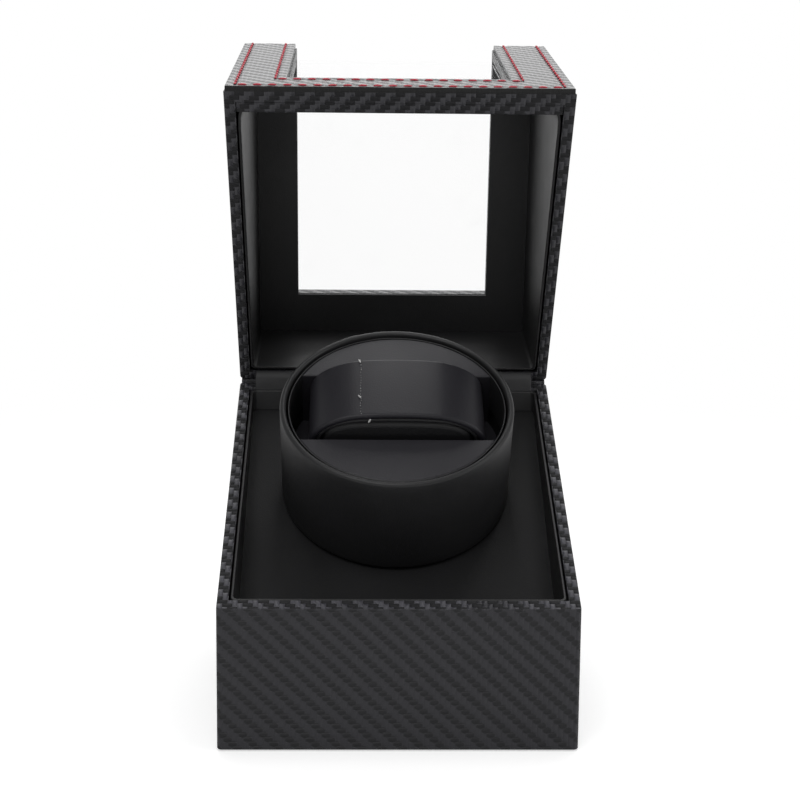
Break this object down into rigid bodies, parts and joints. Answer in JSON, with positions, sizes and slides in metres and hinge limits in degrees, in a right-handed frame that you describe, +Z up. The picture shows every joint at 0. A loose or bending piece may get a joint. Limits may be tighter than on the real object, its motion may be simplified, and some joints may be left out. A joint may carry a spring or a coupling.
{
  "type": "watch winder",
  "caption": "Wedge-shaped box with a hinged, windowed lid standing open over a sloping deck, and a motor-driven tilted cup with a lift-out oval watch pillow.",
  "frame": {"origin": "middle of the underside of the base, on the surface it stands on", "axes": "+Z up; +Y towards the hinge at the back, so -Y is the front; +X to the right seen from the front"},
  "size_m": [0.125, 0.1844, 0.2468],
  "materials": {
    "shell_wrap": "black leatherette embossed with a fine diagonal twill, satin",
    "facing_wrap": "dark grey twill leatherette, satin",
    "smooth_wrap": "smooth black leatherette, satin",
    "thread": "red sewing thread",
    "clear_pane": "clear acrylic sheet",
    "cloth": "black woven cloth",
    "foam": "dark foam",
    "board_wood": "plain wood fibre board",
    "black_plastic": "moulded, fine texture",
    "gloss_black": "glossy moulded",
    "nylon": "off-white nylon",
    "steel": "zinc plated",
    "brass": "turned",
    "circuit": "green circuit board"
  },
  "bodies": {
    "base": {"base_carcass": "shell_wrap", "corner_blocks": "board_wood", "base_floor": "board_wood", "floor_screws": "steel", "base_felt": "cloth", "base_lining": "smooth_wrap", "deck_panel": "smooth_wrap", "deck_cleats": "board_wood", "gear_cover": "black_plastic", "gear_case": "black_plastic", "case_screws": "steel", "upper_bush": "brass", "lower_bush": "brass", "idler_pin": "steel", "gearhead": "steel", "motor_screws": "steel", "motor_can": "steel", "motor_terminals": "brass", "hinge_base_leaves": "steel", "hinge_pins": "steel", "hinge_base_brads": "steel", "hinge_strip": "cloth", "back_plate": "black_plastic", "plate_screws": "steel", "rotary_switch": "black_plastic", "switch_body": "black_plastic", "power_socket": "black_plastic", "socket_contact": "brass", "control_board": "circuit", "board_screws": "steel", "board_chips": "gloss_black", "board_plugs": "nylon"},
    "lid": {"lid_carcass": "shell_wrap", "lid_facing": "facing_wrap", "window_pane": "clear_pane", "lid_lining": "smooth_wrap", "lid_top_card": "smooth_wrap", "facing_stitches": "thread", "hinge_lid_leaves": "steel", "hinge_lid_brads": "steel"},
    "drum": {"drum_shaft": "steel", "shaft_clip": "steel", "drum_gear": "nylon", "drum_hub": "black_plastic", "drum_cup": "black_plastic", "drum_wrap": "smooth_wrap", "hub_screws": "steel", "drum_insert": "smooth_wrap"},
    "idler": {"idler_gear": "nylon"},
    "rotor": {"motor_pinion": "brass", "motor_shaft": "steel"},
    "pillow": {"pillow_cover": "smooth_wrap", "pillow_liner": "cloth", "pillow_core": "foam"},
    "knob": {"mode_knob": "black_plastic"},
    "rocker": {"power_rocker": "gloss_black"}
  },
  "joints": [
    {"name": "lid_hinge", "type": "hinge", "parent": "base", "child": "lid", "pos_m": [0, 0.0646, 0.11028], "axis": [-1, 0, 0], "range_deg": [-80, 0], "deforming": ["hinge_strip"]},
    {"name": "drum_spin", "type": "hinge", "parent": "base", "child": "drum", "pos_m": [0, 0.02, 0.0748], "axis": [0, -0.5299, 0.848], "continuous": true},
    {"name": "idler_spin", "type": "hinge", "parent": "base", "child": "idler", "pos_m": [-0.024, 0.02, 0.0748], "axis": [0, -0.5299, 0.848], "continuous": true},
    {"name": "motor_spin", "type": "hinge", "parent": "base", "child": "rotor", "pos_m": [-0.024, 0.00728, 0.06685], "axis": [0, -0.5299, 0.848], "continuous": true},
    {"name": "pillow_lift", "type": "slide", "parent": "drum", "child": "pillow", "axis": [0, -0.5299, 0.848], "range_m": [0, 0.045]},
    {"name": "knob_turn", "type": "hinge", "parent": "base", "child": "knob", "pos_m": [-0.019, 0.0656, 0.03], "axis": [0, 1, 0], "range_deg": [0, 270]},
    {"name": "rocker_tilt", "type": "hinge", "parent": "base", "child": "rocker", "pos_m": [0.001, 0.065, 0.03], "axis": [0, 0, 1], "range_deg": [0, 20]}
  ],
  "couplings": [
    {"joint": "idler_spin", "follows": "drum_spin", "ratio": -4},
    {"joint": "motor_spin", "follows": "drum_spin", "ratio": 20}
  ]
}
